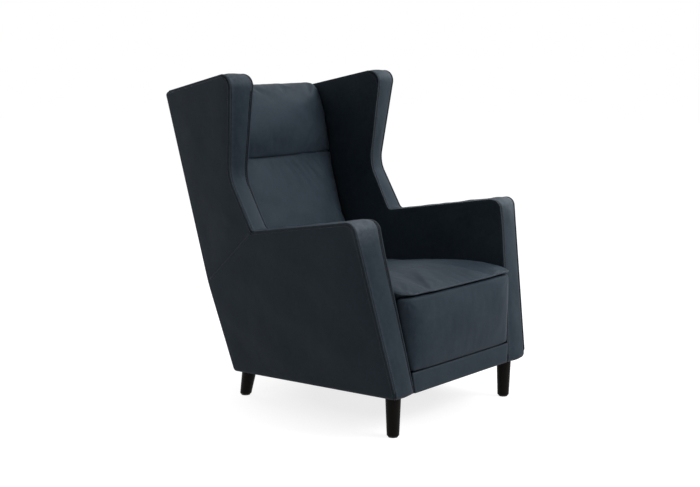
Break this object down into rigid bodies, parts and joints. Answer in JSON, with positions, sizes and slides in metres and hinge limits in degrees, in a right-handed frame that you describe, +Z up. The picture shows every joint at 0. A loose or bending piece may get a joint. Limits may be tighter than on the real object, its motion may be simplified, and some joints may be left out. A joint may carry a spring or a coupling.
{
  "type": "recliner armchair",
  "caption": "Wing-back recliner armchair with a flared one-piece arm and wing shell, gliding seat, tilting back, fold-out footrest and round tapered wooden legs.",
  "frame": {"origin": "on the floor under the middle of the chair's outline", "axes": "+Z up, -Y the way the sitter faces, +X the sitter's left"},
  "size_m": [0.8276, 0.9782, 1.0693],
  "materials": {
    "navy_leather": "semi-matte",
    "black_stained_wood": "satin",
    "timber": "sawn",
    "plywood": "sanded",
    "zinc_plated_steel": "zinc plated",
    "nylon": "moulded",
    "rubber": "matt",
    "webbing": "woven"
  },
  "bodies": {
    "shell": {"legs": "black_stained_wood", "leg_glides": "nylon", "leg_bolts": "zinc_plated_steel", "outer_cover_left": "navy_leather", "outer_cover_right": "navy_leather", "edge_band_left": "navy_leather", "edge_band_right": "navy_leather", "arm_panel_left": "plywood", "arm_panel_right": "plywood", "wing_panel_left": "plywood", "wing_panel_right": "plywood", "side_frame_left": "timber", "side_frame_right": "timber", "inner_pad_left": "navy_leather", "inner_pad_right": "navy_leather", "outer_back_cover": "navy_leather", "outer_back_board": "plywood", "base_band": "navy_leather", "base_front_rail": "timber", "base_side_rail_left": "timber", "base_side_rail_right": "timber", "base_rear_rail": "timber", "base_corner_blocks": "timber", "dust_cover": "webbing", "fixed_channel_left": "zinc_plated_steel", "fixed_channel_right": "zinc_plated_steel", "channel_stops": "rubber", "guide_tracks": "zinc_plated_steel"},
    "seat": {"seat_frame": "timber", "seat_straps": "webbing", "seat_cushion": "navy_leather", "seat_runner_left": "zinc_plated_steel", "seat_runner_right": "zinc_plated_steel", "glide_shoes": "nylon", "footrest_hinge_plate_left": "zinc_plated_steel", "footrest_hinge_plate_right": "zinc_plated_steel", "footrest_hinge_pins": "zinc_plated_steel", "back_pivot_plate_left": "zinc_plated_steel", "back_pivot_plate_right": "zinc_plated_steel", "back_pivot_pins": "zinc_plated_steel"},
    "back": {"back_frame": "timber", "back_straps": "webbing", "back_cushion": "navy_leather", "head_cushion": "navy_leather", "back_lever_left": "zinc_plated_steel", "back_lever_right": "zinc_plated_steel", "back_lever_pins": "zinc_plated_steel", "back_guides": "zinc_plated_steel"},
    "footrest": {"footrest_pad": "navy_leather", "footrest_board": "plywood", "footrest_arm_left": "zinc_plated_steel", "footrest_arm_right": "zinc_plated_steel", "footrest_crank_pins": "zinc_plated_steel"},
    "push_links": {"push_link_left": "zinc_plated_steel", "push_link_right": "zinc_plated_steel"}
  },
  "joints": [
    {"name": "seat_glide", "type": "slide", "parent": "shell", "child": "seat", "axis": [0, -0.9977, 0.0678], "range_m": [0, 0.14]},
    {"name": "back_recline", "type": "hinge", "parent": "seat", "child": "back", "pos_m": [0, 0.21541, 0.36357], "axis": [-1, 0, 0], "range_deg": [0, 12.64]},
    {"name": "footrest_swing", "type": "hinge", "parent": "seat", "child": "footrest", "pos_m": [0, -0.45507, 0.3941], "axis": [-1, 0, 0], "range_deg": [0, 80]},
    {"name": "link_push", "type": "slide", "parent": "seat", "child": "push_links", "axis": [0, -0.9977, 0.0678], "range_m": [0, 0.04075]}
  ],
  "couplings": [
    {"joint": "back_recline", "follows": "seat_glide", "rad_per_m": 1.5764},
    {"joint": "footrest_swing", "follows": "seat_glide", "rad_per_m": 9.9733},
    {"joint": "link_push", "follows": "seat_glide", "ratio": 0.29104}
  ]
}
